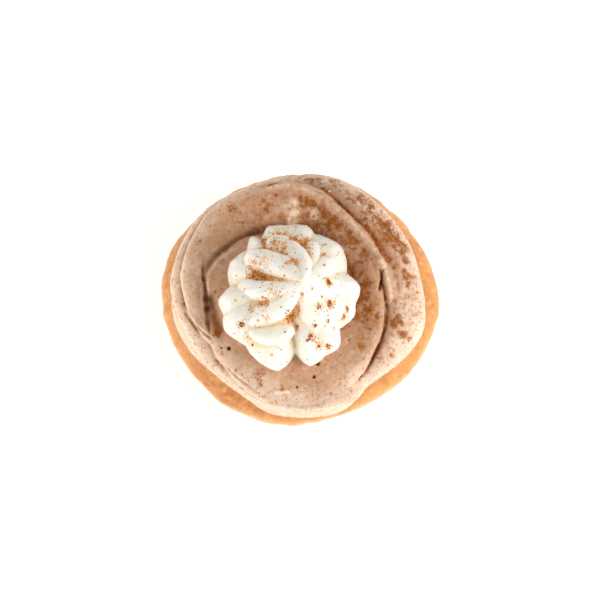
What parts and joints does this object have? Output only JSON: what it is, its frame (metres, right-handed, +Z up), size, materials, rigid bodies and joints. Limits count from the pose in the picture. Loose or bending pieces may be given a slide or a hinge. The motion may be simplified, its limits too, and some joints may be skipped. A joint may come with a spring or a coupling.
{
  "type": "raised doughnut",
  "caption": "Round filled raised doughnut with no hole, coated with swept cinnamon buttercream and topped with a piped whipped cream rosette.",
  "frame": {"origin": "under the middle of the bun, on the surface that it rests on", "axes": "+Z up through the rosette, +X along the bun's longer width, -Y towards the side that the rosette sits nearer"},
  "size_m": [0.09, 0.085, 0.0537],
  "materials": {
    "fried_dough": "satin, golden fried dough with a paler waist",
    "buttercream": "soft matte, light brown, dusted with ground cinnamon",
    "whipped_cream": "soft satin, off-white, dusted with ground cinnamon"
  },
  "bodies": {
    "root": {"bun": "fried_dough", "buttercream": "buttercream", "cream_rosette": "whipped_cream"}
  },
  "joints": []
}
